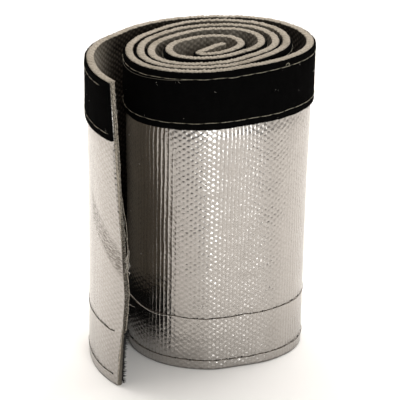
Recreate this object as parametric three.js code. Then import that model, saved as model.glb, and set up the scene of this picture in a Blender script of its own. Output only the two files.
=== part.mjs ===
// Heat shield sleeve, rolled up and standing on end. Millimetres, +Z up, front towards -Y.
// One strip of glass cloth with a foil face, a loop tape along one edge of the foil face and a hook
// tape along the other edge of the cloth face, rolled loosely with its free end standing off.
import * as THREE from 'three';

// Strip, as it lies across its width (the height of the roll)
const WIDTH = 145;            // wraps a 38 mm hose with a 25 mm overlap
const CLOTH = 2.1;            // woven glass
const FOIL = 0.2;             // foil face bonded on it
const TAPE_WIDTH = 25.4;
const LOOP = 1.6;             // loop tape with its pile
const HOOK = 1.6;             // hook tape with its hooks
const THREAD_WIDTH = 0.9;
const THREAD_PROUD = 0.3;
const ROW_INSET = 2.6;        // thread row to the tape's edge
const HOOK_UPPER_INSET = 1.2; // the same on the hook tape's upper edge
const LOOP_DROP = 0.3;        // the loop tape lies this far in from the upper edge
const HOOK_LIFT = 2.2;        // the hook tape lies this far in from the lower edge
const FOIL_LIFT = 0.3;        // the foil stops short of the lower edge
const CLEAR = 0.3;            // air between turns wound tight
const TAPE_STOP = 34;         // bare length of cloth left at the inner end, cloth side only

// Roll: by angle counted on through the turns (degrees, counterclockwise from above, from the
// innermost turn to the free end), the room that the foil face has beyond turns wound tight, as a
// share of ROLL
const ROLL = 100;             // rough width of the roll
const PITCH = CLOTH + FOIL + Math.max(LOOP, HOOK) + THREAD_PROUD + CLEAR;
const TURNS = [
  [-100, 0.166], [-40, 0.139], [5, 0.153], [50, 0.154], [95, 0.124], [140, 0.118], [185, 0.163],
  [230, 0.201], [275, 0.170], [320, 0.148], [365, 0.198], [410, 0.229], [455, 0.185], [500, 0.154],
  [545, 0.198], [590, 0.248], [635, 0.203], [680, 0.169], [725, 0.219], [770, 0.250], [815, 0.204],
  [860, 0.176], [905, 0.205], [950, 0.251], [995, 0.206], [1040, 0.173], [1085, 0.224],
  [1130, 0.269], [1175, 0.235], [1220, 0.184], [1268, 0.215], [1310, 0.258], [1350, 0.220],
  [1380, 0.188], [1405, 0.207], [1440, 0.276], [1490, 0.330], [1530, 0.277], [1575, 0.289],
  [1620, 0.334], [1645, 0.368], [1671, 0.471],
];
const STEP = 10;              // degrees between stations
const FOLD_RADIUS = 3.0;      // foil face round the fold that starts the roll
const FOLD_TURN = 126;        // degrees the fold turns through
const FOLD_STEPS = 7;
const TONGUE = 17;            // straight inner end past the fold
const TONGUE_BEND = 10;       // degrees it bends along its length
const TONGUE_STEPS = 4;

const rad = (deg) => (deg * Math.PI) / 180;

// Distance of the foil face from the middle, on a smooth curve through the table of turns
function distanceAt(angle) {
  const n = TURNS.length;
  const slope = (i) => (TURNS[i + 1][1] - TURNS[i][1]) / (TURNS[i + 1][0] - TURNS[i][0]);
  const tangent = (i) => {
    if (i === 0) return slope(0);
    if (i === n - 1) return slope(n - 2);
    const before = TURNS[i][0] - TURNS[i - 1][0];
    const after = TURNS[i + 1][0] - TURNS[i][0];
    return (slope(i - 1) * after + slope(i) * before) / (before + after);
  };
  let k = 0;
  while (k < n - 2 && angle > TURNS[k + 1][0]) k += 1;
  const h = TURNS[k + 1][0] - TURNS[k][0];
  const u = (angle - TURNS[k][0]) / h;
  const room = (2 * u ** 3 - 3 * u ** 2 + 1) * TURNS[k][1] + (u ** 3 - 2 * u ** 2 + u) * h * tangent(k)
    + (3 * u ** 2 - 2 * u ** 3) * TURNS[k + 1][1] + (u ** 3 - u ** 2) * h * tangent(k + 1);
  return (PITCH * angle) / 360 + ROLL * room;
}

// Stations of the foil face in plan, from the inner end to the free end
function foilLine() {
  const first = TURNS[0][0];
  const last = TURNS[TURNS.length - 1][0];
  const roll = [];
  for (let a = first; a < last - STEP / 2; a += STEP) roll.push(a);
  roll.push(last);
  const points = roll.map((a) => [distanceAt(a) * Math.cos(rad(a)), distanceAt(a) * Math.sin(rad(a))]);
  // the fold and the straight end run inward from the first station, turning clockwise
  const ahead = [points[0][0] - points[1][0], points[0][1] - points[1][1]];
  let heading = Math.atan2(ahead[1], ahead[0]) - rad(2);
  let [x, y] = points[0];
  const inner = [];
  const run = (total, length, steps) => {
    for (let i = 0; i < steps; i += 1) {
      heading -= rad(total) / steps / 2;
      x += (length / steps) * Math.cos(heading);
      y += (length / steps) * Math.sin(heading);
      heading -= rad(total) / steps / 2;
      inner.push([x, y]);
    }
  };
  run(FOLD_TURN, rad(FOLD_TURN) * FOLD_RADIUS, FOLD_STEPS);
  run(TONGUE_BEND, TONGUE, TONGUE_STEPS);
  return [...inner.reverse(), ...points];
}

// Unit normals away from the foil face
function outward(line) {
  return line.map((_, i) => {
    const a = line[Math.max(0, i - 1)];
    const b = line[Math.min(line.length - 1, i + 1)];
    const dx = b[0] - a[0];
    const dy = b[1] - a[1];
    const len = Math.hypot(dx, dy);
    return [dy / len, -dx / len];
  });
}

const LINE = foilLine();
const OUT = outward(LINE);

// A band that follows the roll: section is a closed loop of [distance off the foil face, height]
function band(section, start = 0) {
  const m = section.length;
  const position = [];
  const index = [];
  for (let i = start; i < LINE.length; i += 1) {
    for (const [off, z] of section) {
      position.push(LINE[i][0] + OUT[i][0] * off, LINE[i][1] + OUT[i][1] * off, z);
    }
  }
  const rows = LINE.length - start;
  for (let i = 0; i < rows - 1; i += 1) {
    for (let j = 0; j < m; j += 1) {
      const a = i * m + j;
      const b = i * m + ((j + 1) % m);
      index.push(a, b, b + m, a, b + m, a + m);
    }
  }
  for (let j = 1; j < m - 1; j += 1) {
    index.push(0, j + 1, j);
    const e = (rows - 1) * m;
    index.push(e, e + j, e + j + 1);
  }
  const geometry = new THREE.BufferGeometry();
  geometry.setAttribute('position', new THREE.Float32BufferAttribute(position, 3));
  geometry.setIndex(index);
  return geometry;
}

const rect = (o1, o2, z1, z2) => [[o1, z1], [o1, z2], [o2, z2], [o2, z1]];
const row = (off, z) => [[off, z - THREAD_WIDTH / 2], [off, z + THREAD_WIDTH / 2], [off + THREAD_PROUD, z]];

// Station where the bare cloth at the inner end stops
function stationAt(length) {
  let gone = 0;
  for (let i = 1; i < LINE.length; i += 1) {
    gone += Math.hypot(LINE[i][0] - LINE[i - 1][0], LINE[i][1] - LINE[i - 1][1]);
    if (gone >= length) return i;
  }
  return 0;
}

const loopHigh = WIDTH - LOOP_DROP;
const loopLow = loopHigh - TAPE_WIDTH;
const hookHigh = HOOK_LIFT + TAPE_WIDTH;
const PIECES = {
  glass_cloth: band(rect(-FOIL - CLOTH, -FOIL, 0, WIDTH)),
  foil_facing: band(rect(-FOIL, 0, FOIL_LIFT, WIDTH)),
  loop_tape: band(rect(0, LOOP, loopLow, loopHigh)),
  hook_tape: band(rect(-FOIL - CLOTH - HOOK, -FOIL - CLOTH, HOOK_LIFT, hookHigh), stationAt(TAPE_STOP)),
  loop_seam_upper: band(row(LOOP, loopHigh - ROW_INSET)),
  loop_seam_lower: band(row(LOOP, loopLow + ROW_INSET)),
  hook_seam_upper: band(row(0, hookHigh - HOOK_UPPER_INSET), stationAt(TAPE_STOP)),
  hook_seam_lower: band(row(0, HOOK_LIFT + ROW_INSET), stationAt(TAPE_STOP)),
};
const LOOKS = {
  glass_cloth: [0xb9b1a2, 0, 0.9],
  foil_facing: [0xcfc8bc, 1, 0.35],
  loop_tape: [0x111111, 0, 0.95],
  hook_tape: [0x161616, 0, 0.9],
  loop_seam_upper: [0x8a8262, 0, 0.8],
  loop_seam_lower: [0x8a8262, 0, 0.8],
  hook_seam_upper: [0x4a4036, 0, 0.8],
  hook_seam_lower: [0x4a4036, 0, 0.8],
};

// The frame's origin is the middle of the roll's footprint
const box = new THREE.Box3();
for (const geometry of Object.values(PIECES)) {
  geometry.computeBoundingBox();
  box.union(geometry.boundingBox);
}
const mid = box.getCenter(new THREE.Vector3());

const group = new THREE.Group();
for (const [name, geometry] of Object.entries(PIECES)) {
  geometry.translate(-mid.x, -mid.y, 0);
  geometry.computeVertexNormals();
  const [color, metalness, roughness] = LOOKS[name];
  const mesh = new THREE.Mesh(geometry, new THREE.MeshStandardMaterial({ color, metalness, roughness }));
  mesh.name = name;
  group.add(mesh);
}

export default group;
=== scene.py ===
"""Heat shield sleeve, rolled up and standing on end: a strip of foil-faced glass cloth with a loop tape
along its upper edge, outside, and a hook tape along its lower edge, inside."""
import math

import bpy
import numpy as np
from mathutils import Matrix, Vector


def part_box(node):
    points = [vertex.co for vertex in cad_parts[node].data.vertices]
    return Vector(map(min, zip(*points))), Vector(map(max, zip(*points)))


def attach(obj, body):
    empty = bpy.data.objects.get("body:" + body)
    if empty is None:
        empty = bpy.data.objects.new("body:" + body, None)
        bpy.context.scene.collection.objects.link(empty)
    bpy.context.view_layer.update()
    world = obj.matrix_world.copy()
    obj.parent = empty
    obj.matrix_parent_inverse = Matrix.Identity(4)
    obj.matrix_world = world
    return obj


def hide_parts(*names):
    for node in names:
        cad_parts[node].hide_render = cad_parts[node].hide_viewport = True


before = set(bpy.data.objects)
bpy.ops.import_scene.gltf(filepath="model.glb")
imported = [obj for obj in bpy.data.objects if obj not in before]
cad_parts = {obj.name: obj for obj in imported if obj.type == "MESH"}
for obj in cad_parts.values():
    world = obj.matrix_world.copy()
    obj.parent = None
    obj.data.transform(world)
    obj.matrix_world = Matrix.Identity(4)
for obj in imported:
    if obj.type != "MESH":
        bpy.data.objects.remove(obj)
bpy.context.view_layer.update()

MM = 0.001

# The strip across its width, in millimetres, as in the part's source
WIDTH = 145.0
CLOTH, FOIL, LOOP, HOOK = 2.1, 0.2, 1.6, 1.6
TAPE_WIDTH = 25.4
LOOP_DROP, HOOK_LIFT, FOIL_LIFT = 0.3, 2.2, 0.3
ROW_INSET, HOOK_UPPER_INSET = 2.6, 1.2
TAPE_STOP = 34.0
THREAD_PROUD, CLEAR = 0.3, 0.3
HOOK_BASE = 0.7    # woven part of the hook tape, under its hooks
PILE_HANG = 0.7    # how far the pile hangs below the loop tape
LOOP_HIGH = WIDTH - LOOP_DROP
LOOP_LOW = LOOP_HIGH - TAPE_WIDTH
HOOK_HIGH = HOOK_LIFT + TAPE_WIDTH

# The roll: angle through the turns in degrees, and the room the foil face has beyond tight turns
ROLL = 100.0
PITCH = CLOTH + FOIL + max(LOOP, HOOK) + THREAD_PROUD + CLEAR
TURNS = np.array([
    (-100, 0.166), (-40, 0.139), (5, 0.153), (50, 0.154), (95, 0.124), (140, 0.118), (185, 0.163),
    (230, 0.201), (275, 0.170), (320, 0.148), (365, 0.198), (410, 0.229), (455, 0.185), (500, 0.154),
    (545, 0.198), (590, 0.248), (635, 0.203), (680, 0.169), (725, 0.219), (770, 0.250), (815, 0.204),
    (860, 0.176), (905, 0.205), (950, 0.251), (995, 0.206), (1040, 0.173), (1085, 0.224),
    (1130, 0.269), (1175, 0.235), (1220, 0.184), (1268, 0.215), (1310, 0.258), (1350, 0.220),
])
# the outer turn, first as in the part's source, then as it has settled in the photograph
OUTER_TURN = np.array([
    (1380, 0.188), (1405, 0.207), (1440, 0.276), (1490, 0.330), (1530, 0.277), (1575, 0.289),
    (1620, 0.334), (1645, 0.368), (1671, 0.471),
])
SETTLED_TURN = np.array([
    (1380, 0.188), (1405, 0.214), (1440, 0.281), (1490, 0.303), (1530, 0.256), (1575, 0.250),
    (1600, 0.264), (1620, 0.317), (1645, 0.380), (1671, 0.471),
])
STEP = 10.0
FOLD_RADIUS, FOLD_TURN = 3.0, 126.0
TONGUE, TONGUE_BEND = 17.0, 10.0

# Slump: how far the roll, upright in the part's source, has strayed in plan at its foot
LEAN = 2.7             # to the left, all of it
SKEW = 0.215           # forward on the right and back on the left, as a share of the distance out
HANG = 0.4             # further to the left, the free end only
HANG_START = 105.0     # the free end hangs by itself over this last length, from here
HANG_FULL = 55.0       # to here
FREE = 50.0            # last length that is drawn in and stretched along
DRAWN_IN = 0.8         # share of that which goes in towards the roll
# by height, how far the free edge is drawn in and along, and how far its cut strays along
DRAWN = np.array([
    (0, 3.4), (22, 4.5), (34, 5.35), (46, 5.65), (63, 4.82), (90, 3.33), (122, 1.6), (145, 0.3),
])
RAGGED = np.array([
    (0, 0), (10.4, -0.9), (18, -1.2), (23, -0.7), (33.5, 0.2), (43.5, 0.3), (63, 0.3), (78, 0.2),
    (90, -0.5), (107, -0.5), (122, 0.1), (145, 0),
])

# The weave, as it shows on the cut edges and through the foil, and the sewing
YARN = 1.9             # pitch of the yarns that run across the strip, upright on the roll
PICK = 1.3             # pitch of the yarns that run along it
STITCH = 6.6           # length of a stitch
THREAD = 0.16          # radius of the sewing thread
LOOSE_THREAD = 0.14    # radius of the thread that has come loose

# Last lengths of the strip that show, and get their small detail
FOIL_SHOWN, NAP_SHOWN, LINT_SHOWN, HOOKS_SHOWN = 560, 420, 400, 330

# The photograph's camera: 400 pixels across, focal length 1700 pixels
LENS = 36.0 * 1700 / 400
CAMERA_AT = (-0.6, -731.0, 376.3)
CAMERA_DOWN = 22.74


def smooth_table(table, at):
    """A smooth curve through the table's points, worked out as the part's source does."""
    x, y = table[:, 0], table[:, 1]
    h, slope = np.diff(x), np.diff(y) / np.diff(x)
    tangent = np.concatenate([
        slope[:1], (slope[:-1] * h[1:] + slope[1:] * h[:-1]) / (h[1:] + h[:-1]), slope[-1:]])
    k = np.clip(np.searchsorted(x, at) - 1, 0, len(x) - 2)
    u = (at - x[k]) / h[k]
    return ((2 * u**3 - 3 * u**2 + 1) * y[k] + (u**3 - 2 * u**2 + u) * h[k] * tangent[k]
            + (3 * u**2 - 2 * u**3) * y[k + 1] + (u**3 - u**2) * h[k] * tangent[k + 1])


ANGLES = np.arange(TURNS[0, 0], OUTER_TURN[-1, 0] + 0.5, 1.0)


def foil_line(outer_turn):
    """Points of the foil face in plan, from the inner end to the free end, before it is centred."""
    def at(angle):
        r = PITCH * angle / 360 + ROLL * smooth_table(np.concatenate([TURNS, outer_turn]), angle)
        return np.stack([r * np.cos(np.radians(angle)), r * np.sin(np.radians(angle))], 1)

    first = at(TURNS[0, 0] + np.array([0.0, STEP]))
    heading = math.atan2(*(first[0] - first[1])[::-1]) - math.radians(2)
    spot, inner = first[0], []
    for turn, length in ((FOLD_TURN, math.radians(FOLD_TURN) * FOLD_RADIUS), (TONGUE_BEND, TONGUE)):
        for _ in range(30):
            heading -= math.radians(turn) / 60
            spot = spot + length / 30 * np.array([math.cos(heading), math.sin(heading)])
            heading -= math.radians(turn) / 60
            inner.append(spot)
    return np.concatenate([inner[::-1], at(ANGLES)])


class Line:
    """The foil face's line in plan, by distance along it from the inner end, in millimetres."""

    def __init__(self):
        self.raw = foil_line(SETTLED_TURN)
        self.gone = np.concatenate([[0], np.cumsum(np.linalg.norm(np.diff(self.raw, axis=0), axis=1))])
        d = np.gradient(self.raw, axis=0)
        d /= np.linalg.norm(d, axis=1)[:, None]
        self.normal = np.stack([d[:, 1], -d[:, 0]], 1)

    def at(self, s):
        """Points and outward normals at the distances s, which may run past either end."""
        s = np.asarray(s, float)
        inside = np.clip(s, 0, self.gone[-1])
        p = np.stack([np.interp(inside, self.gone, self.raw[:, i]) for i in (0, 1)], -1)
        n = np.stack([np.interp(inside, self.gone, self.normal[:, i]) for i in (0, 1)], -1)
        n /= np.linalg.norm(n, axis=-1)[..., None]
        ahead = np.stack([-n[..., 1], n[..., 0]], -1)
        return p + ahead * (s - inside)[..., None], n, ahead


LINE = Line()
LENGTH = LINE.gone[-1]


def turn(angle):
    """Distance along the strip at an angle through the turns."""
    return float(np.interp(angle, ANGLES, LINE.gone[-len(ANGLES):]))


def ease(x):
    """0 below 0, 1 above 1, smooth between."""
    x = np.clip(x, 0, 1)
    return x * x * (3 - 2 * x)


def slumped(s, off, z):
    """Plan of strip places (s along, off out from the foil face, z up) before the roll is centred."""
    left, down = LENGTH - s, 1 - z / WIDTH
    free, height = np.clip(1 - left / FREE, 0, None) ** 2, np.clip(z, 0, WIDTH)
    drawn = free * smooth_table(DRAWN, height)
    ragged = free**2 * smooth_table(RAGGED, height)
    p, n, ahead = LINE.at(s)
    p = p + n * (off - DRAWN_IN * drawn)[..., None] + ahead * (drawn + ragged)[..., None]
    loose = ease((HANG_START - left) / (HANG_START - HANG_FULL))
    return p - np.stack([LEAN + HANG * loose, SKEW * p[..., 0] * (1 - loose)], -1) * down[..., None]


def centre():
    """The move that brings the roll to the frame's origin, from the box of the part's own foil."""
    plan = foil_line(OUTER_TURN)
    low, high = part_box("foil_facing")
    return (np.array(low[:2]) + np.array(high[:2])) / 2 / MM - (plan.min(0) + plan.max(0)) / 2


CENTRE = centre()


def place(s, off, z):
    """Frame points, in metres, of strip places."""
    s, off, z = np.broadcast_arrays(*(np.asarray(v, float) for v in (s, off, z)))
    return np.concatenate([slumped(s, off, z) + CENTRE, z[..., None]], -1) * MM


def noise(x, seed, octaves=3):
    """Smooth wandering numbers about 0 along x, with features about one unit long."""
    total, size = np.zeros_like(np.asarray(x, float)), 1.0
    for o in range(octaves):
        knots = np.random.default_rng(seed * 97 + o).uniform(-1, 1, 4096)
        u = np.asarray(x, float) * 2**o + 500
        k = np.floor(u).astype(int)
        f = u - k
        f = f * f * (3 - 2 * f)
        total += size * (knots[k % 4096] * (1 - f) + knots[(k + 1) % 4096] * f)
        size *= 0.5
    return total


def add_mesh(name, points, faces, uv):
    """A smooth mesh object from points (n, 3) and lists of corner numbers; uv is per point."""
    mesh = bpy.data.meshes.new(name)
    mesh.from_pydata(np.asarray(points).tolist(), [], faces)
    mesh.validate()
    layer = mesh.uv_layers.new(name="strip")
    corner = np.zeros(len(mesh.loops), np.int32)
    mesh.loops.foreach_get("vertex_index", corner)
    layer.data.foreach_set("uv", np.asarray(uv)[corner].astype(np.float32).ravel())
    mesh.polygons.foreach_set("use_smooth", [True] * len(mesh.polygons))
    obj = bpy.data.objects.new(name, mesh)
    bpy.context.scene.collection.objects.link(obj)
    return obj


def band(name, s, off, z, v):
    """A closed band along the strip: off, z and v, the distance round its section, are (stations, m)
    or broadcast to it."""
    n, m = off.shape
    points = place(s[:, None], off, z).reshape(-1, 3)
    uv = np.stack([np.broadcast_to(s[:, None], off.shape), np.broadcast_to(v, off.shape)], -1) * MM
    i, j = np.meshgrid(np.arange(n - 1), np.arange(m), indexing="ij")
    a, b = i * m + j, i * m + (j + 1) % m
    faces = np.stack([a, b, b + m, a + m], -1).reshape(-1, 4).tolist()
    faces.append(list(range(m))[::-1])
    faces.append([(n - 1) * m + k for k in range(m)])
    return add_mesh(name, points, faces, uv.reshape(-1, 2))


# Materials

class Nodes:
    """Short names for building a material's node tree."""

    def __init__(self, name):
        self.material = bpy.data.materials.new(name)
        self.material.use_nodes = True
        self.tree = self.material.node_tree
        self.tree.nodes.clear()
        self.shader = self.tree.nodes.new("ShaderNodeBsdfPrincipled")
        out = self.tree.nodes.new("ShaderNodeOutputMaterial")
        self.tree.links.new(self.shader.outputs[0], out.inputs[0])
        self.uv = self.node("ShaderNodeUVMap").outputs[0]
        split = self.node("ShaderNodeSeparateXYZ", {0: self.uv})
        self.u, self.v = split.outputs[0], split.outputs[1]

    def node(self, kind, inputs=None, **settings):
        n = self.tree.nodes.new(kind)
        for key, value in settings.items():
            setattr(n, key, value)
        for key, value in (inputs or {}).items():
            self.put(n.inputs[key], value)
        return n

    def put(self, socket, value):
        if isinstance(value, bpy.types.NodeSocket):
            self.tree.links.new(value, socket)
        else:
            socket.default_value = value

    def math(self, what, *values):
        return self.node("ShaderNodeMath", dict(enumerate(values)), operation=what).outputs[0]

    def wave(self, x, pitch):
        """sin(pi x / pitch), x and pitch in metres."""
        return self.math("SINE", self.math("MULTIPLY", x, math.pi / pitch))

    def noise(self, scale, detail=2.0, rough=0.5, stretch=(1, 1, 1)):
        """Noise from 0 to 1 about 0.5 over the strip; scale is features a metre."""
        v = self.node("ShaderNodeMapping", {0: self.uv, "Scale": stretch}).outputs[0]
        return self.node("ShaderNodeTexNoise", {
            "Vector": v, "Scale": scale, "Detail": detail, "Roughness": rough}).outputs[0]

    def drift(self, x, amount, scale, stretch):
        """x with a slow wander of up to about half the amount either way."""
        return self.math("MULTIPLY_ADD", self.noise(scale, 1, 0.5, stretch), amount, x)

    def span(self, x, low, high):
        """0 where x is low, 1 where it is high, smooth between; low may be the larger one."""
        return self.node("ShaderNodeMapRange", {0: x, 1: low, 2: high}, interpolation_type="SMOOTHSTEP"
                         ).outputs[0]

    def ramp(self, value, *stops):
        n = self.node("ShaderNodeValToRGB", {0: value})
        ramp = n.color_ramp
        while len(ramp.elements) < len(stops):
            ramp.elements.new(0.5)
        for element, (at, colour) in zip(ramp.elements, stops):
            element.position = at
            element.color = (*colour, 1)
        return n.outputs[0]

    def mix(self, share, a, b):
        n = self.node("ShaderNodeMix", data_type="RGBA")
        for socket, value in zip((n.inputs[0], n.inputs[6], n.inputs[7]), (share, a, b)):
            self.put(socket, (*value, 1) if isinstance(value, tuple) else value)
        return n.outputs[2]

    def blend(self, share, a, b):
        """The number a, or b where the share is 1."""
        return self.math("ADD", self.math("MULTIPLY", a, self.math("SUBTRACT", 1.0, share)),
                         self.math("MULTIPLY", b, share))

    def bump(self, height, distance, after=None):
        inputs = {"Height": height, "Distance": distance}
        if after is not None:
            inputs["Normal"] = after
        return self.node("ShaderNodeBump", inputs).outputs[0]

    def set(self, **values):
        for key, value in values.items():
            self.put(self.shader.inputs[key.replace("_", " ")], value)
        return self.material


def weave(m, ribs_share):
    """Height, 0 to 1, of a plain weave over the strip, whose upright yarns stand out by a share."""
    along = m.drift(m.drift(m.u, 0.0009, 70, (1, 0.5, 1)), 0.0006, 330, (1, 0.6, 1))
    up = m.drift(m.drift(m.v, 0.0014, 60, (1.3, 0.8, 1)), 0.0009, 300, (0.8, 1, 1))
    warp, weft = m.wave(along, YARN * MM), m.wave(up, PICK * MM)
    over = m.math("MULTIPLY_ADD", m.math("MULTIPLY", warp, weft), 0.5, 0.5)
    ribs = m.math("POWER", m.math("ABSOLUTE", warp), 0.7)
    return m.blend(ribs_share, over, ribs)


def glass_cloth_material():
    """Woven faces, darker brown on the outer turn as painted shade; the cut rims, over WIDTH round the
    section, are paler.
    """
    m = Nodes("glass cloth")
    height = weave(m, 0.25)
    fibre = m.noise(2600, 3, 0.65, (1, 0.35, 1))
    face = m.ramp(height, (0.1, (0.150, 0.127, 0.098)), (0.6, (0.290, 0.252, 0.202)),
                  (1.0, (0.370, 0.330, 0.272)))
    face = m.mix(0.3, face, m.ramp(fibre, (0.3, (0.10, 0.084, 0.064)), (0.7, (0.32, 0.28, 0.225))))
    # painted shade: the outer turn's faces, short of the free end, get this much darker brown
    shaded_brown = m.ramp(height, (0.1, (0.012, 0.0095, 0.007)), (0.6, (0.045, 0.036, 0.027)),
                   (1.0, (0.090, 0.074, 0.056)))
    left = m.math("MULTIPLY_ADD", m.u, -1.0, LENGTH * MM)
    outer = m.math("MULTIPLY", m.span(left, 0.420, 0.350), m.span(left, 0.040, 0.075))
    face = m.mix(outer, face, shaded_brown)
    rim = m.ramp(fibre, (0.25, (0.165, 0.140, 0.108)), (0.7, (0.345, 0.305, 0.250)))
    rim = m.mix(m.span(m.noise(60, 3, 0.6), 0.45, 0.75), rim, (0.20, 0.172, 0.132))
    edge = m.math("SUBTRACT", m.v, WIDTH * MM)
    on_rim = m.math("LESS_THAN", edge, (CLOTH + 2.0) * MM)
    colour = m.mix(m.math("MULTIPLY", m.span(edge, -0.0013, -0.0002), on_rim), face, rim)
    normal = m.bump(m.math("ADD", height, m.math("MULTIPLY", fibre, 0.35)), 0.00045)
    return m.set(Base_Color=colour, Roughness=0.85, Normal=normal, Specular_IOR_Level=0.15)


def foil_material():
    """Satin foil pressed into the weave, as ribs in some upright stripes and as cells in others, darker
    in its grooves as painted shade, and with a hatched dark patch across the free end as a painted
    reflection."""
    m = Nodes("foil")
    stripes = m.span(m.noise(34, 1, 0.5, (1, 0.04, 1)), 0.35, 0.62)
    height = weave(m, m.math("MULTIPLY_ADD", stripes, 0.75, 0.12))
    patches = m.span(m.noise(34, 2, 0.5, (1, 0.35, 1)), 0.3, 0.65)
    worn = m.math("MULTIPLY_ADD", patches, 0.65, 0.35)
    crinkle = m.noise(800, 3, 0.6, (0.6, 1.3, 1))
    tall = m.math("ADD", m.math("MULTIPLY", height, worn), m.math("MULTIPLY", crinkle, 0.5))
    normal = m.bump(m.noise(70, 2, 0.5, (1.0, 1.4, 1)), 0.0006)
    normal = m.bump(tall, 0.00028, normal)
    left = m.math("MULTIPLY_ADD", m.u, -1.0, LENGTH * MM)
    # painted reflection: a hatched dark band across the free end stands in for the dark that the flap
    # reflects
    dark_reflection_line = m.math("MULTIPLY_ADD", left, 0.85, 0.060)
    off_line = m.math("ABSOLUTE", m.math("SUBTRACT", m.v, dark_reflection_line))
    dark_reflection = m.math("MULTIPLY", m.span(off_line, 0.0085, 0.004), m.span(left, 0.027, 0.022))
    hatch = m.span(m.noise(1000, 2, 0.6, (0.35, 1.2, 1)), 0.40, 0.60)
    dark_reflection = m.math("MULTIPLY", dark_reflection, m.math("MULTIPLY_ADD", hatch, 0.75, 0.15))
    colour = m.ramp(m.noise(900, 4, 0.7), (0.25, (0.345, 0.324, 0.302)), (0.55, (0.410, 0.388, 0.365)),
                    (0.9, (0.465, 0.443, 0.420)))
    # painted shade: the foil's colour is darker in the weave's grooves
    groove_shade = m.math("MULTIPLY", m.span(tall, 0.75, 0.15), 0.50)
    colour = m.mix(groove_shade, colour, (0.19, 0.173, 0.154))
    colour = m.mix(dark_reflection, colour, (0.15, 0.135, 0.118))
    rough = m.math("MULTIPLY_ADD", m.span(m.noise(160, 3, 0.6), 0.3, 0.8), 0.08, 0.20)
    return m.set(Base_Color=colour, Metallic=1.0, Roughness=rough, Normal=normal)


def loop_material():
    """Black pile with a slight nap."""
    m = Nodes("loop pile")
    pile = m.noise(3200, 4, 0.7)
    nap = m.noise(300, 3, 0.6, (1, 0.4, 1))
    colour = m.ramp(m.math("MULTIPLY", pile, m.math("MULTIPLY_ADD", nap, 0.8, 0.6)),
                    (0.2, (0.0006, 0.0006, 0.0006)), (0.75, (0.0030, 0.0029, 0.0028)))
    normal = m.bump(pile, 0.0005)
    return m.set(Base_Color=colour, Roughness=0.95, Normal=normal, Specular_IOR_Level=0.01)


def hook_material():
    """Black nylon, a little shiny."""
    m = Nodes("hook pile")
    dots = m.noise(1500, 2, 0.5)
    colour = m.ramp(dots, (0.3, (0.003, 0.0028, 0.0026)), (0.8, (0.012, 0.0112, 0.0102)))
    return m.set(Base_Color=colour, Roughness=0.55, Normal=m.bump(dots, 0.0005), Specular_IOR_Level=0.3)


def thread_material(name, dark, light):
    """Twisted thread, darker where each stitch goes down at its two ends, which is painted shade."""
    m = Nodes(name)
    ply = m.wave(m.math("MULTIPLY_ADD", m.v, 0.5, m.u), 0.0004)
    tone = m.math("MULTIPLY_ADD", ply, 0.2, m.noise(700, 3, 0.6))
    # painted shade: the thread darkens towards each stitch's two ends, where it goes down
    middle = m.math("MULTIPLY", m.span(m.u, 0.0, 0.0012), m.span(m.u, 0.0064, 0.0052))
    tone = m.math("MULTIPLY", tone, m.math("MULTIPLY_ADD", middle, 0.75, 0.25))
    colour = m.ramp(tone, (0.25, dark), (0.8, light))
    return m.set(Base_Color=colour, Roughness=0.7, Normal=m.bump(ply, 0.0001))


def plain_fibre_material(name, dark, light, scale):
    """Fibre of uneven colour, with features of 1 / scale metres."""
    m = Nodes(name)
    colour = m.ramp(m.noise(scale, 2, 0.6), (0.35, dark), (0.65, light))
    return m.set(Base_Color=colour, Roughness=0.75, Specular_IOR_Level=0.2)


# The strip's layers

def build_cloth():
    """Woven cloth, on whose cut rims each upright yarn ends in a tuft; the faces' weave is bump."""
    s = np.append(np.arange(0, LENGTH - 0.1, 0.38), LENGTH)
    inner, outer = -FOIL - CLOTH, -FOIL
    rim = 8
    bend = np.linspace(0, math.pi, rim + 1)
    fluff = np.where(bend < math.pi / 2, 0.55, 1.0) * np.minimum(1, 2.6 * np.sin(bend))
    across = (inner + outer) / 2 - (CLOTH / 2 + fluff) * np.cos(bend)
    crown = 0.75 * np.sin(bend)
    rows = np.array([0.9, 10, 20, 32, 45, 62, 85, 110, 135])
    plain = (inner + outer) / 2 - CLOTH / 2 * np.cos(bend)
    off = np.concatenate([
        np.full(len(rows), inner), across, np.full(len(rows), outer), plain[::-1][1:-1]])
    z = np.concatenate([rows, WIDTH - 0.4 + crown, rows[::-1], 0.55 - 0.7 * crown[1:-1]])
    v = np.concatenate([[0], np.cumsum(np.hypot(np.diff(off), np.diff(z)))])
    off, z = np.tile(off, (len(s), 1)), np.tile(z, (len(s), 1))
    wander = s + 0.25 * noise(s / 9, 11)
    number = np.floor(wander / YARN).astype(int)
    height = np.random.default_rng(3).uniform(-1, 1, 2000)[number % 2000][:, None]
    twist = wander[:, None] / YARN + 0.32 * np.linspace(-1, 1, rim + 1)[None]
    tuft = np.abs(np.sin(math.pi * twist)) ** 0.7
    fuzz = np.random.default_rng(5).normal(0, 0.04, tuft.shape)
    dome = np.sin(bend)[None] ** 0.5
    top = slice(len(rows), len(rows) + rim + 1)
    z[:, top] += (0.5 * (tuft - 0.6) + 0.16 * height + fuzz) * dome
    off[:, top] += 0.1 * height * dome - 0.22 * (tuft - 0.5) * np.cos(bend)[None]
    foot = slice(2 * len(rows) + rim + 1, None)
    z[:, foot] += 0.25 * (1 - tuft[:, 1:-1][:, ::-1])
    return band("glass_cloth_woven", s, off, z, v)


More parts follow.
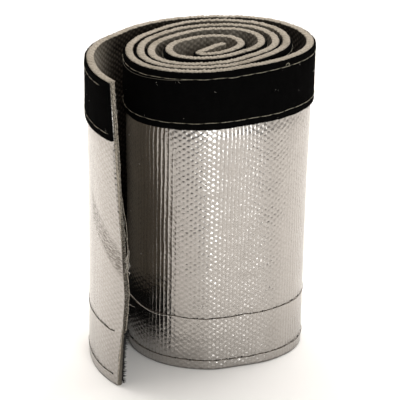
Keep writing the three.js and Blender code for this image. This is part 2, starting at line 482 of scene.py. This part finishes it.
def build_foil():
    """The foil face: drawn in along its seams, bellied under the loop tape, and a little uneven."""
    fine = LENGTH - FOIL_SHOWN
    s = np.concatenate([np.arange(0, fine, 3.0), np.arange(fine, LENGTH, 0.95), [LENGTH]])
    face_rows = np.concatenate([np.linspace(FOIL_LIFT, LOOP_LOW, 108), [WIDTH - 0.3]])
    zz, ss = face_rows[None], s[:, None]
    under = np.clip((LOOP_LOW + 1 - zz) / 4, 0, 1)
    waves = 0.10 * noise(ss / 16 + 0.15 * noise(zz / 40, 22, 1), 21, 2)
    ripple = 0.05 * noise(zz / 4.5 + 0.7 * noise(ss / 14, 21), 23, 2)
    ripple = ripple * np.clip(0.5 + 0.8 * noise(ss / 25, 27, 1) + 0.3 * noise(zz / 30, 29, 1), 0, 1)
    lower, upper = zz - HOOK_LIFT - ROW_INSET, zz - HOOK_HIGH + HOOK_UPPER_INSET
    pucker = -0.10 * (np.exp(-(lower / 1.1) ** 2) + np.exp(-(upper / 1.1) ** 2))
    pucker = pucker * (1 + 0.3 * np.sin(2 * math.pi * ss / STITCH))
    belly = 0.5 * ease((LOOP_LOW - zz) / 7) * ease((zz - LOOP_LOW + 42) / 35)
    crease_at = (ss - turn(1347)) / 9
    crease = -0.12 * np.exp(-((zz - 13.8 - 0.3 * crease_at) / 0.8) ** 2) * np.exp(-crease_at**4)
    face = under * (waves + ripple + pucker + belly + crease)
    back_rows = np.array([WIDTH - 0.3, 122, 100, 80, 63, 45, 32, 20, 10, FOIL_LIFT])
    off = np.concatenate([face, np.full((len(s), len(back_rows)), -FOIL)], 1)
    z = np.tile(np.concatenate([face_rows, back_rows]), (len(s), 1))
    return band("foil_face", s, off, z, z[0])


def build_tape(name, s, inner, outer, low, high):
    """A tape with soft, slightly uneven selvedges."""
    out = 1 if outer > inner else -1
    off = np.array([inner, inner, inner + out * 0.5, outer - out * 0.25, outer, outer, outer,
                    outer - out * 0.25, inner + out * 0.5])
    middle = (low + high) / 2
    z = np.array([low, high, high, high - 0.15, high - 0.5, middle, low + 0.35, low + 0.05, low])
    v = np.concatenate([[0], np.cumsum(np.hypot(np.diff(off), np.diff(z)))])
    off, z = np.tile(off, (len(s), 1)), np.tile(z, (len(s), 1))
    off[:, 3:8] += out * np.minimum(0.09 * noise(s / 4.0, 31)[:, None], 0.06)
    z[:, 1:4] += 0.12 * noise(s / 3.0, 37)[:, None]
    z[:, [0, 7, 8]] += 0.12 * noise(s / 3.0, 41)[:, None]
    return band(name, s, off, z, v)


def fibres(name, root, tip, width):
    """Thin three-sided spikes from root to tip (n, 3), in metres."""
    axis = tip - root
    axis /= np.linalg.norm(axis, axis=1)[:, None] + 1e-12
    side = np.cross(axis, [0.3, 0.5, 0.81])
    side /= np.linalg.norm(side, axis=1)[:, None] + 1e-12
    other = np.cross(axis, side)
    corners = [root + width * (math.cos(a) * side + math.sin(a) * other) for a in (0, 2.1, 4.2)]
    points = np.stack([*corners, tip], 1).reshape(-1, 3)
    base = np.arange(len(root))[:, None] * 4
    faces = np.concatenate([base + [0, 1, 3], base + [1, 2, 3], base + [2, 0, 3], base + [2, 1, 0]])
    uv = np.repeat(np.random.default_rng(len(root)).uniform(0, 0.05, (len(root), 2)), 4, 0)
    return add_mesh(name, points, faces.tolist(), uv)


def tube(path, radius, sides):
    """Points and faces of a closed tube along path (n, 3)."""
    ahead = np.gradient(path, axis=0)
    ahead /= np.linalg.norm(ahead, axis=1)[:, None] + 1e-12
    side = np.cross(ahead, [0.0, 0.0, 1.0])
    short = np.linalg.norm(side, axis=1) < 0.3
    side[short] = np.cross(ahead[short], [0.6, 0.8, 0.0])
    side /= np.linalg.norm(side, axis=1)[:, None]
    up = np.cross(side, ahead)
    angle = np.linspace(0, 2 * math.pi, sides, endpoint=False)[None, :, None]
    radius = np.broadcast_to(radius, len(path))[:, None, None]
    ring = path[:, None] + radius * (np.cos(angle) * side[:, None] + np.sin(angle) * up[:, None])
    n = len(path)
    i, j = np.meshgrid(np.arange(n - 1), np.arange(sides), indexing="ij")
    a, b = i * sides + j, i * sides + (j + 1) % sides
    faces = np.stack([a, b, b + sides, a + sides], -1).reshape(-1, 4).tolist()
    faces.append(list(range(sides))[::-1])
    faces.append([(n - 1) * sides + k for k in range(sides)])
    return ring.reshape(-1, 3), faces


def tubes(name, paths, radii, sides=5):
    points, faces, uv, count = [], [], [], 0
    for path, radius in zip(paths, radii):
        p, f = tube(path, radius, sides)
        points.append(p)
        faces += [[k + count for k in face] for face in f]
        along = np.concatenate([[0], np.cumsum(np.linalg.norm(np.diff(path, axis=0), axis=1))])
        uv.append(np.stack([np.repeat(along, sides), np.tile(np.arange(sides) * 0.0003, len(path))], 1))
        count += len(p)
    return add_mesh(name, np.concatenate(points), faces, np.concatenate(uv))


def stitch_ends(start, seed):
    """Distances along the strip where a row's stitches go down."""
    rng = np.random.default_rng(seed)
    steps = STITCH * rng.uniform(0.93, 1.07, 400)
    ends = start + 1.5 + np.concatenate([[0], np.cumsum(steps)])
    return ends[ends < LENGTH - 1.0]


def build_seam(name, surface, z, ends, seed, radius):
    """A row of lock stitches: each dives at its two ends and wanders a little between."""
    rng = np.random.default_rng(seed + 1)
    paths = []
    for s0, s1 in zip(ends[:-1], ends[1:]):
        t = np.linspace(0, 1, 8)
        s = s0 + (s1 - s0) * t
        rise = np.minimum(1, 6 * np.minimum(t, 1 - t) + 0.35)
        wander = rng.normal(0, 0.12) * np.sin(math.pi * t) + 0.1 * noise(s / 20, seed)
        paths.append(place(s, surface + (THREAD_PROUD - radius) * rise - 0.22 * (1 - rise), z + wander))
    return tubes(name, paths, [radius * MM] * len(paths))


def build_holes(name, z, ends, seed):
    """Needle holes in the foil, where stitches go down: small sunk discs, near black as painted shade.
    """
    rng = np.random.default_rng(seed)
    paths = []
    for s in ends:
        up = z + rng.normal(0, 0.06)
        paths.append(place([s, s], [-0.2, 0.03], [up, up]))
    return tubes(name, paths, rng.uniform(0.34, 0.50, len(paths)) * MM, 7)


def build_pile():
    """The loop tape's nap, on the turns that show, and hanging over its selvedges."""
    rng = np.random.default_rng(19)
    n, edge = 9000, 2600
    s = rng.uniform(LENGTH - NAP_SHOWN, LENGTH - 0.2, n + 2 * edge)
    z = np.concatenate([
        rng.uniform(LOOP_LOW - 0.6, LOOP_HIGH, n), rng.uniform(-0.9, 0.0, edge) + LOOP_LOW,
        rng.uniform(-0.3, 0.1, edge) + LOOP_HIGH])
    off = np.concatenate([np.full(n, LOOP - 0.05), rng.uniform(0.6, LOOP, 2 * edge)])
    reach = rng.uniform(0.2, 0.65, n + 2 * edge)
    lift = np.concatenate([
        rng.normal(0, 0.3, n), rng.uniform(-0.5, 0.0, edge), rng.uniform(0.0, 0.4, edge)])
    root = place(s, off, z)
    tip = place(s + rng.normal(0, 0.35, len(s)), off + reach, z + lift)
    return fibres("loop_tape_nap", root, tip, 0.06 * MM)


def build_hooks():
    """Bristles of the hook tape on the outer turn, bent over at their tips."""
    rng = np.random.default_rng(23)
    s, z = np.meshgrid(np.arange(LENGTH - HOOKS_SHOWN, LENGTH, 1.15),
                       np.arange(HOOK_LIFT + 0.6, HOOK_HIGH, 1.0), indexing="ij")
    s = (s + rng.uniform(-0.35, 0.35, s.shape)).ravel()
    z = (z + rng.uniform(-0.3, 0.3, z.shape)).ravel()
    surface = -FOIL - CLOTH - HOOK_BASE + 0.1
    reach = rng.uniform(0.85, 1.35, len(s))
    lean = rng.normal(0, 0.3, len(s))
    root, tip = place(s, surface, z), place(s + lean, surface - reach, z + 0.3)
    return fibres("hook_tape_bristles", root, tip, 0.13 * MM)


def build_edge_bristles():
    """Hooks that stick out past the cloth along the tape's cut end."""
    rng = np.random.default_rng(29)
    n = 420
    z = rng.uniform(0.8, HOOK_HIGH + 0.5, n)
    depth = rng.uniform(1.4, 3.3, n)
    root = place(LENGTH - rng.uniform(0.0, 0.6, n), -FOIL - depth, z)
    tip = place(LENGTH + rng.uniform(0.35, 1.15, n), -FOIL - depth - rng.uniform(0.0, 1.3, n),
                z + rng.normal(0, 0.35, n))
    return fibres("hook_tape_end", root, tip, 0.15 * MM)


def build_frays():
    """Yarns cut off along the free edge, and the ones that have come loose there."""
    rng = np.random.default_rng(31)
    paths, radii = [], []
    for k, z in enumerate(np.arange(1.2, WIDTH - 0.6, PICK)):
        depth = CLOTH * (0.30 if k % 2 else 0.72) + rng.normal(0, 0.08)
        out = rng.uniform(-0.1, 0.35)
        t = np.linspace(0, 1, 4)
        s = LENGTH - 0.5 + (0.5 + out) * t
        paths.append(place(s, -FOIL - depth - 0.2 * t**2, z + rng.normal(0, 0.15) * t))
        radii.append(np.array([0.44, 0.44, 0.36, 0.15]) * MM)
    for low, high, depth, far, radius, seed in (
        (118, 144.6, 0.7, 0.25, 0.26, 1), (100, 132, 1.7, 0.3, 0.22, 2), (60, 93, 1.9, 1.1, 0.14, 3),
        (57, 80, 1.4, 1.7, 0.11, 4), (28, 62, 1.8, 0.2, 0.22, 5), (84, 112, 1.2, 0.2, 0.2, 6),
    ):
        t = np.linspace(0, 1, 22)
        z = low + (high - low) * t
        out = 0.25 + far * np.sin(math.pi * t) ** 0.8 + 0.15 * noise(t * 6, seed)
        paths.append(place(LENGTH + out, -FOIL - depth + 0.2 * noise(t * 5, seed + 20), z))
        radii.append(radius * MM)
    return tubes("free_edge_yarns", paths, radii)


def build_lint():
    """Fine loose fibres: at the free edge's top corner, a tuft below its middle, a filament."""
    rng = np.random.default_rng(37)
    t = np.linspace(0, 1, 7)
    paths = []
    for low, high, out, rise, count in (
        (56, 63, 3.2, 6.0, 22), (129, 145, 1.8, 2.5, 26), (36, 120, 1.1, 2.2, 44),
        (38, 42, 4.5, 0.6, 5),
    ):
        for _ in range(count):
            root = rng.uniform(low, high)
            far, up = rng.uniform(0.3, 1.0) * out, rng.normal(0.6, 0.5) * rise
            s = LENGTH + far * t + rng.normal(0, 0.5) * np.sin(math.pi * t)
            paths.append(place(s, -FOIL - rng.uniform(0.2, 1.9), root + up * t**1.4))
    start, end = place(LENGTH + 0.3, -0.9, 49.0), place(turn(1333), 0.35, HOOK_HIGH - 0.7)
    t = np.linspace(0, 1, 24)[:, None]
    sag = np.array([-1.0, -1.2, -3.5]) * MM * np.sin(math.pi * t)
    paths.append(start * (1 - t) + end * t + sag)
    return tubes("loose_fibres", paths, [0.055 * MM] * (len(paths) - 1) + [0.08 * MM], 3)


def build_loose_thread(radius):
    """A doubled thread on the upper seam at the left, and a small loop standing on the right."""
    z = LOOP_HIGH - ROW_INSET
    s = np.arange(turn(1255), turn(1338), 0.8)
    t = (s - s[0]) / (s[-1] - s[0])
    below = 1.5 * np.sin(math.pi * np.clip(t * 0.9 + 0.1, 0, 1)) ** 0.7
    doubled = place(s, LOOP + 0.16, z - below + 0.1 * noise(s / 6, 47))
    a = np.linspace(-0.4 * math.pi, 1.4 * math.pi, 16)
    loop = place(turn(1407) + 1.0 * np.cos(a), LOOP + 0.25 + 0.2 * np.sin(a), z + 0.7 + 0.8 * np.sin(a))
    return tubes("loop_thread_loose", [doubled, loop], [radius * MM] * 2)


def build_specks():
    """Pale lint caught in the loop tape."""
    rng = np.random.default_rng(43)
    n = 46
    s, z = rng.uniform(LENGTH - LINT_SHOWN, LENGTH - 2, n), rng.uniform(LOOP_LOW, LOOP_HIGH, n)
    root = place(s, LOOP + 0.1, z)
    tip = place(s + rng.normal(0, 0.6, n), LOOP + 0.3, z + rng.normal(0, 0.6, n))
    return fibres("lint_specks", root, tip, 0.05 * MM)


def ride(obj, material, replaces=()):
    """Give a piece its material, and tell the frame's kit what it is."""
    obj.data.materials.append(material)
    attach(obj, "root")
    if replaces:
        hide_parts(*replaces)
    return obj


# The sleeve

cloth_look, foil_look = glass_cloth_material(), foil_material()
loop_look, hook_look = loop_material(), hook_material()
loop_thread = thread_material("loop thread", (0.06, 0.052, 0.034), (0.42, 0.38, 0.28))
hook_thread = thread_material("hook thread", (0.03, 0.022, 0.015), (0.17, 0.13, 0.09))
# painted shade: the needle holes are near-black discs
hole_shade_look = plain_fibre_material("needle hole", (0.006, 0.005, 0.004), (0.02, 0.016, 0.012), 900)
yarn_look = plain_fibre_material("cut yarn", (0.035, 0.028, 0.02), (0.36, 0.32, 0.26), 900)
lint_look = plain_fibre_material("loose fibre", (0.36, 0.33, 0.28), (0.62, 0.58, 0.52), 300)

cloth = ride(build_cloth(), cloth_look, ["glass_cloth"])
ride(build_foil(), foil_look, ["foil_facing"])
stations = np.arange(0, LENGTH + 0.4, 0.8)
stations[-1] = LENGTH
ride(build_tape("loop_tape_pile", stations, 0, LOOP, LOOP_LOW - PILE_HANG, LOOP_HIGH), loop_look,
     ["loop_tape"])
ride(build_tape("hook_tape_base", stations[stations > TAPE_STOP], -FOIL - CLOTH,
                -FOIL - CLOTH - HOOK_BASE, HOOK_LIFT, HOOK_HIGH), hook_look, ["hook_tape"])
ride(build_pile(), loop_look)
ride(build_hooks(), hook_look)
ride(build_edge_bristles(), hook_look)
ride(build_frays(), yarn_look)
ride(build_lint(), lint_look)
ride(build_specks(), lint_look)
ride(build_loose_thread(LOOSE_THREAD), loop_thread)

for node, surface, z, start, look, slot in (
    ("loop_seam_upper", LOOP, LOOP_HIGH - ROW_INSET, 0, loop_thread, "loop_thread"),
    ("loop_seam_lower", LOOP, LOOP_LOW + ROW_INSET, 0, loop_thread, "loop_thread"),
    ("hook_seam_upper", 0, HOOK_HIGH - HOOK_UPPER_INSET, TAPE_STOP, hook_thread, "hook_thread"),
    ("hook_seam_lower", 0, HOOK_LIFT + ROW_INSET, TAPE_STOP, hook_thread, "hook_thread"),
):
    ends = stitch_ends(start, len(node) + int(z))
    ride(build_seam(node + "_stitches", surface, z, ends, int(z), THREAD), look, [node])
    if surface == 0:
        ride(build_holes(node + "_holes", z, ends, int(z)), hole_shade_look)


# Floor, light, camera

def build_floor():
    """A pale level surface, as stage."""
    mesh = bpy.data.meshes.new("floor")
    mesh.from_pydata([(-9, -9, 0), (9, -9, 0), (9, 9, 0), (-9, 9, 0)], [], [(0, 1, 2, 3)])
    obj = bpy.data.objects.new("floor", mesh)
    bpy.context.scene.collection.objects.link(obj)
    m = Nodes("pale floor")
    obj.data.materials.append(m.set(Base_Color=(0.90, 0.875, 0.845, 1), Roughness=0.9))


def area_light(name, at, target, size, power, colour):
    """A rectangular softbox at one place, turned to another."""
    data = bpy.data.lights.new(name, "AREA")
    data.shape, data.size, data.size_y, data.energy = "RECTANGLE", size[0], size[1], power
    data.color = colour
    obj = bpy.data.objects.new(name, data)
    bpy.context.scene.collection.objects.link(obj)
    obj.location = at
    obj.rotation_mode = "QUATERNION"
    obj.rotation_quaternion = Vector(np.array(target) - np.array(at)).to_track_quat("-Z", "Y")


def build_world():
    """A dim studio, darker towards the horizon, so that the foil has something dark to reflect."""
    world = bpy.data.worlds.new("studio")
    bpy.context.scene.world = world
    world.use_nodes = True
    tree = world.node_tree
    where = tree.nodes.new("ShaderNodeSeparateXYZ")
    tree.links.new(tree.nodes.new("ShaderNodeTexCoord").outputs["Generated"], where.inputs[0])
    sky = tree.nodes.new("ShaderNodeValToRGB")
    sky.color_ramp.elements[0].color = (0.11, 0.105, 0.10, 1)
    sky.color_ramp.elements[1].color = (0.42, 0.41, 0.40, 1)
    sky.color_ramp.elements[1].position = 0.8
    tree.links.new(where.outputs[2], sky.inputs[0])
    tree.links.new(sky.outputs[0], tree.nodes["Background"].inputs[0])


def build_camera():
    """The photograph's camera."""
    camera = bpy.data.objects.new("camera", bpy.data.cameras.new("camera"))
    bpy.context.scene.collection.objects.link(camera)
    camera.data.sensor_width = 36.0
    camera.data.lens = LENS
    camera.data.clip_start = 0.05
    camera.location = tuple(c * MM for c in CAMERA_AT)
    camera.rotation_euler = (math.radians(90 - CAMERA_DOWN), 0, 0)
    bpy.context.scene.camera = camera


build_floor()
build_world()
area_light("overhead", (0.03, 0.30, 0.62), (0.03, 0.28, 0), (1.3, 0.45), 10.0, (1.0, 0.98, 0.96))
area_light("left", (-0.85, -0.12, 0.32), (0, 0, 0.10), (1.5, 0.6), 2.3, (1.0, 0.95, 0.88))
area_light("right", (0.9, -0.10, 0.42), (0, 0, 0.07), (0.8, 0.8), 1.3, (1.0, 0.97, 0.92))
area_light("key", (0.36, -0.82, 0.25), (0, 0, 0.08), (0.36, 0.55), 6, (0.95, 0.98, 1.0))
build_camera()
bpy.context.scene.view_settings.view_transform = "Standard"
